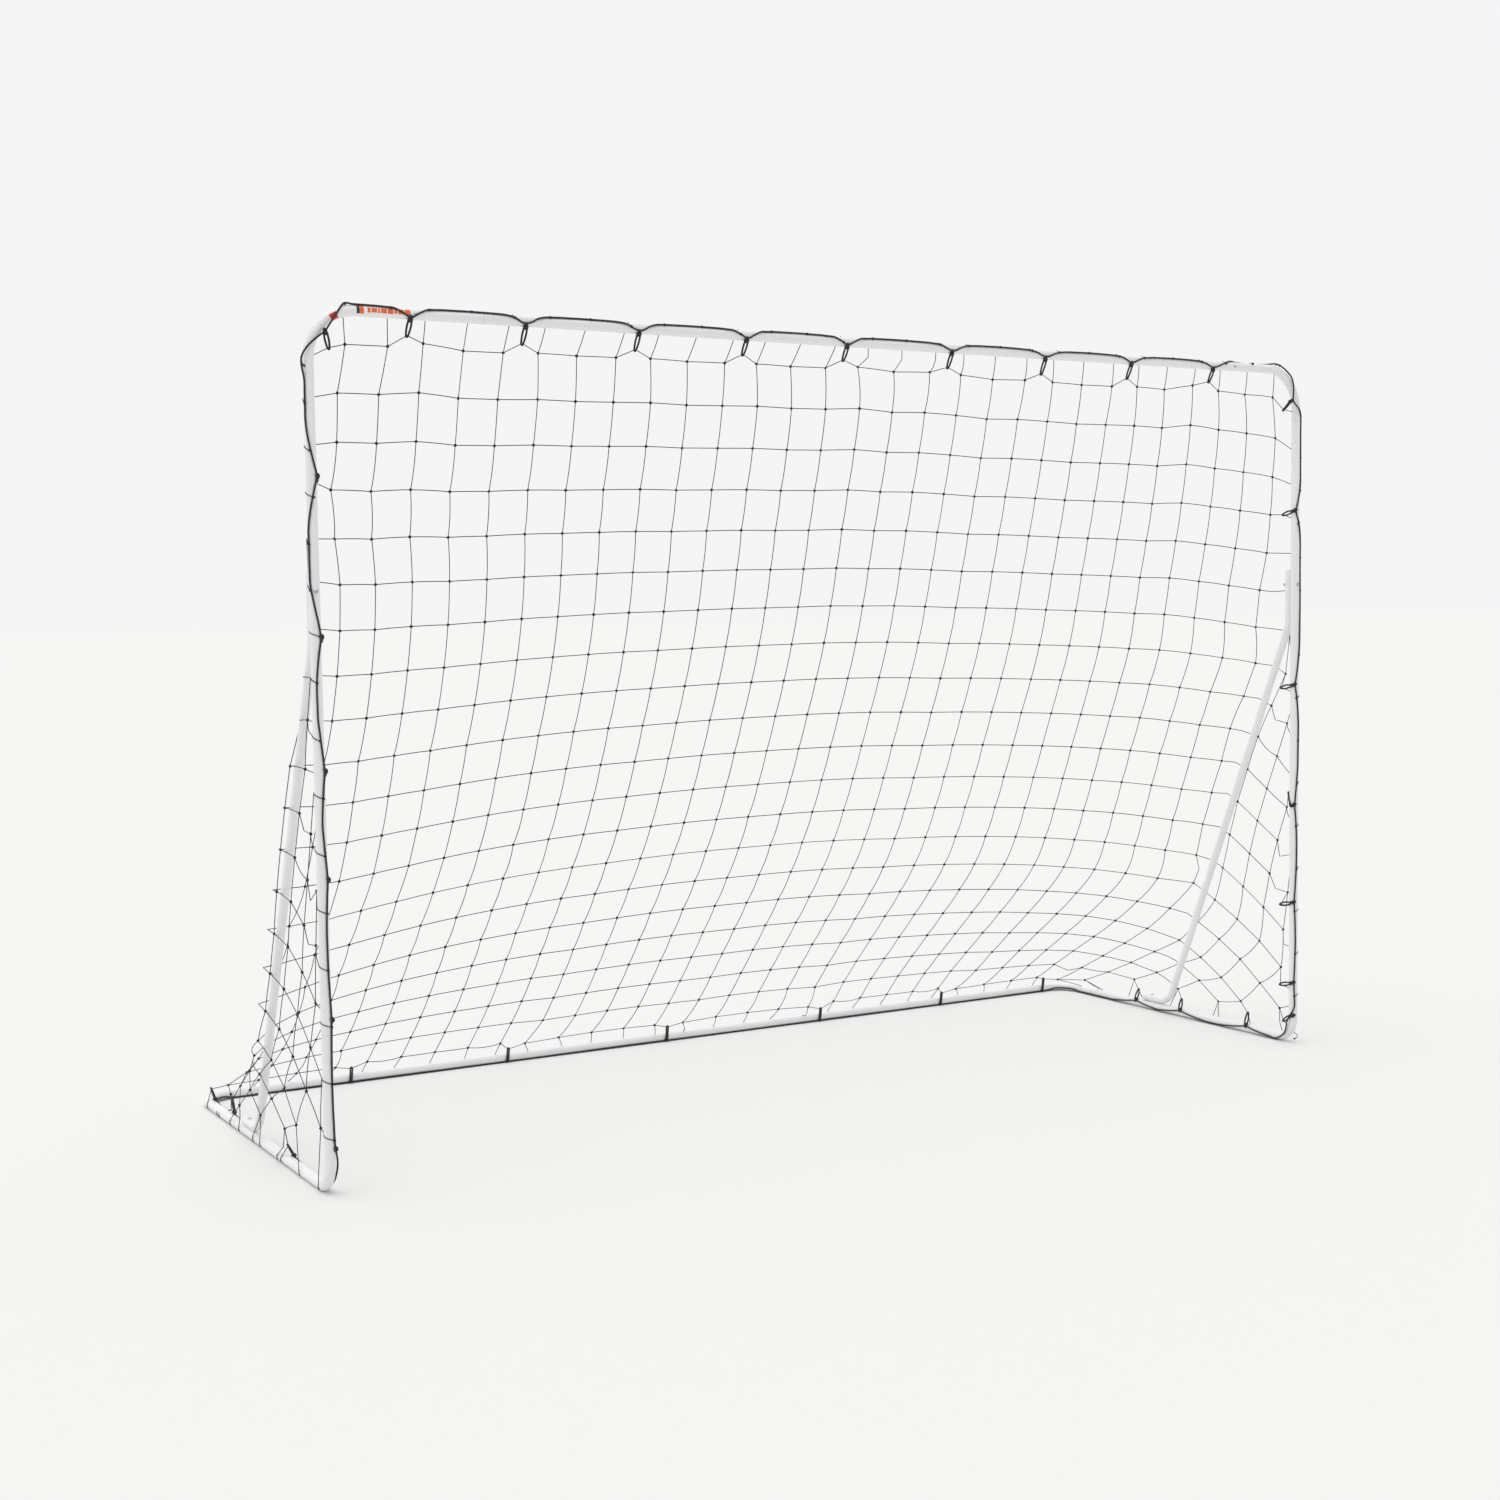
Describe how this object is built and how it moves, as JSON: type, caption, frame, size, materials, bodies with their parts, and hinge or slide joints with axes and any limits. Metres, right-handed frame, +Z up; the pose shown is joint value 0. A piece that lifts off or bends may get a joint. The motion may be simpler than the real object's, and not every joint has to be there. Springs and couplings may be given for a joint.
{
  "type": "football goal",
  "caption": "Free-standing white steel-tube football goal with a black square-mesh net, slanting side struts and a ground frame.",
  "frame": {"origin": "on the ground, under the middle of the goal's overall box", "axes": "+X across the goal to the right as a player facing the mouth sees it, +Y from the mouth to the back, +Z up"},
  "size_m": [3.003, 1.1085, 2.0001],
  "materials": {
    "white_powder_coat": "satin",
    "button_steel": "satin",
    "zinc_steel": "satin",
    "spring_steel": "satin",
    "cap_plastic": "satin",
    "marking_film": "satin",
    "red_film": "satin",
    "rope_black": "matte",
    "net_twine": "matte",
    "elastic_black": "matte"
  },
  "bodies": {
    "frame": {"top_corner_left": "white_powder_coat", "top_corner_right": "white_powder_coat", "crossbar_left": "white_powder_coat", "crossbar_right": "white_powder_coat", "post_left": "white_powder_coat", "post_right": "white_powder_coat", "front_foot_left": "white_powder_coat", "front_foot_right": "white_powder_coat", "rear_corner_left": "white_powder_coat", "rear_corner_right": "white_powder_coat", "rear_base_left": "white_powder_coat", "rear_base_right": "white_powder_coat", "strut_upper_left": "white_powder_coat", "strut_upper_right": "white_powder_coat", "strut_lower_left": "white_powder_coat", "strut_lower_right": "white_powder_coat", "clip_leaves": "spring_steel", "post_screws": "zinc_steel", "post_washers": "zinc_steel", "post_nuts": "zinc_steel", "base_screws": "zinc_steel", "base_nuts": "zinc_steel", "strut_end_caps": "cap_plastic", "marking_band": "marking_film", "corner_tag": "red_film", "edge_rope": "rope_black", "net_back": "net_twine", "net_left": "net_twine", "net_right": "net_twine", "ties_crossbar": "elastic_black", "ties_post_left": "elastic_black", "ties_post_right": "elastic_black", "ties_base_left": "elastic_black", "ties_base_right": "elastic_black", "ties_base_rear": "elastic_black"},
    "button_crossbar_left_body": {"button_crossbar_left": "button_steel"},
    "button_crossbar_right_body": {"button_crossbar_right": "button_steel"},
    "button_crossbar_middle_body": {"button_crossbar_middle": "button_steel"},
    "button_rear_left_body": {"button_rear_left": "button_steel"},
    "button_rear_right_body": {"button_rear_right": "button_steel"},
    "button_rear_middle_body": {"button_rear_middle": "button_steel"},
    "button_post_top_left_body": {"button_post_top_left": "button_steel"},
    "button_post_top_right_body": {"button_post_top_right": "button_steel"},
    "button_post_foot_left_body": {"button_post_foot_left": "button_steel"},
    "button_post_foot_right_body": {"button_post_foot_right": "button_steel"},
    "button_strut_left_body": {"button_strut_left": "button_steel"},
    "button_strut_right_body": {"button_strut_right": "button_steel"}
  },
  "joints": [
    {"name": "button_crossbar_left_press", "type": "slide", "parent": "frame", "child": "button_crossbar_left_body", "axis": [0, -1, 0], "range_m": [-0.004, 0], "stiffness_N_per_m": 250},
    {"name": "button_crossbar_right_press", "type": "slide", "parent": "frame", "child": "button_crossbar_right_body", "axis": [0, -1, 0], "range_m": [-0.004, 0], "stiffness_N_per_m": 250},
    {"name": "button_crossbar_middle_press", "type": "slide", "parent": "frame", "child": "button_crossbar_middle_body", "axis": [0, 1, 0], "range_m": [-0.004, 0], "stiffness_N_per_m": 250},
    {"name": "button_rear_left_press", "type": "slide", "parent": "frame", "child": "button_rear_left_body", "axis": [0, 1, 0], "range_m": [-0.004, 0], "stiffness_N_per_m": 250},
    {"name": "button_rear_right_press", "type": "slide", "parent": "frame", "child": "button_rear_right_body", "axis": [0, 1, 0], "range_m": [-0.004, 0], "stiffness_N_per_m": 250},
    {"name": "button_rear_middle_press", "type": "slide", "parent": "frame", "child": "button_rear_middle_body", "axis": [0, 1, 0], "range_m": [-0.004, 0], "stiffness_N_per_m": 250},
    {"name": "button_post_top_left_press", "type": "slide", "parent": "frame", "child": "button_post_top_left_body", "axis": [0, 1, 0], "range_m": [-0.004, 0], "stiffness_N_per_m": 250},
    {"name": "button_post_top_right_press", "type": "slide", "parent": "frame", "child": "button_post_top_right_body", "axis": [0, 1, 0], "range_m": [-0.004, 0], "stiffness_N_per_m": 250},
    {"name": "button_post_foot_left_press", "type": "slide", "parent": "frame", "child": "button_post_foot_left_body", "axis": [0, 1, 0], "range_m": [-0.004, 0], "stiffness_N_per_m": 250},
    {"name": "button_post_foot_right_press", "type": "slide", "parent": "frame", "child": "button_post_foot_right_body", "axis": [0, 1, 0], "range_m": [-0.004, 0], "stiffness_N_per_m": 250},
    {"name": "button_strut_left_press", "type": "slide", "parent": "frame", "child": "button_strut_left_body", "axis": [0, 0.9183, 0.396], "range_m": [-0.004, 0], "stiffness_N_per_m": 250},
    {"name": "button_strut_right_press", "type": "slide", "parent": "frame", "child": "button_strut_right_body", "axis": [0, 0.9183, 0.396], "range_m": [-0.004, 0], "stiffness_N_per_m": 250}
  ]
}
